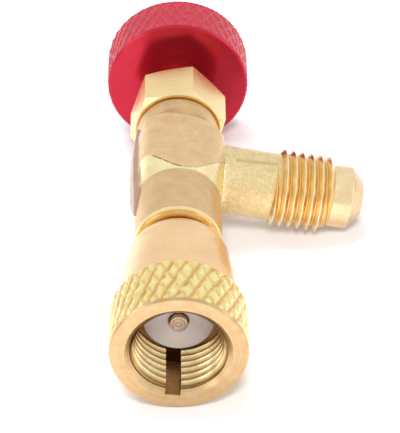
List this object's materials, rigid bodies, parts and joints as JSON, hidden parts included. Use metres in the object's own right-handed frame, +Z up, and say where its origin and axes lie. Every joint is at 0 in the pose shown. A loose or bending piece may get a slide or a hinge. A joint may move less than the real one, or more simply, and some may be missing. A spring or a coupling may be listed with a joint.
{
  "type": "refrigerant valve adapter",
  "caption": "Brass adapter with a knurled swivel nut and face gasket, a side flare port, and a red hand knob that screws a depressor pin forward through the nut.",
  "frame": {"origin": "centre of the bounding box at the floor the adapter lies on, at its lowest point", "axes": "+Y runs along the main axis from the swivel nut's mouth to the hand knob, lifted about one degree at the knob; +X is the side the flare port points to; +Z is up"},
  "size_m": [0.0366, 0.0704, 0.0209],
  "materials": {
    "brass": "machined satin",
    "forged_brass": "forged and tumbled, with turned ends",
    "red_anodised_aluminium": "glossy red",
    "nylon": "milky, smooth",
    "ptfe": "smooth",
    "black_rubber": "matt",
    "zinc_plated_steel": "plated"
  },
  "bodies": {
    "body": {"valve_body": "forged_brass", "tailpiece": "brass", "face_gasket": "nylon", "packing_nut": "brass", "packing_nut_seal": "ptfe", "front_stem_o_ring": "black_rubber", "backup_ring": "ptfe", "rear_stem_o_ring": "black_rubber"},
    "nut": {"coupling_nut": "brass"},
    "pin": {"depressor_pin": "brass"},
    "spindle": {"stem": "brass", "knob": "red_anodised_aluminium", "knob_washer": "zinc_plated_steel", "lock_washer": "zinc_plated_steel", "knob_screw": "zinc_plated_steel"}
  },
  "joints": [
    {"name": "nut_spin", "type": "hinge", "parent": "body", "child": "nut", "pos_m": [-0.00787, 0.00544, 0.00993], "axis": [0, 0.9998, 0.0202], "continuous": true},
    {"name": "stem_travel", "type": "slide", "parent": "body", "child": "pin", "axis": [0, -0.9998, -0.0202], "range_m": [0, 0.004]},
    {"name": "knob_turn", "type": "hinge", "parent": "pin", "child": "spindle", "pos_m": [-0.00787, 0.00544, 0.00993], "axis": [0, -0.9998, -0.0202], "range_deg": [0, 1440]}
  ],
  "couplings": [
    {"joint": "stem_travel", "follows": "knob_turn", "m_per_rad": 0.00015915}
  ]
}
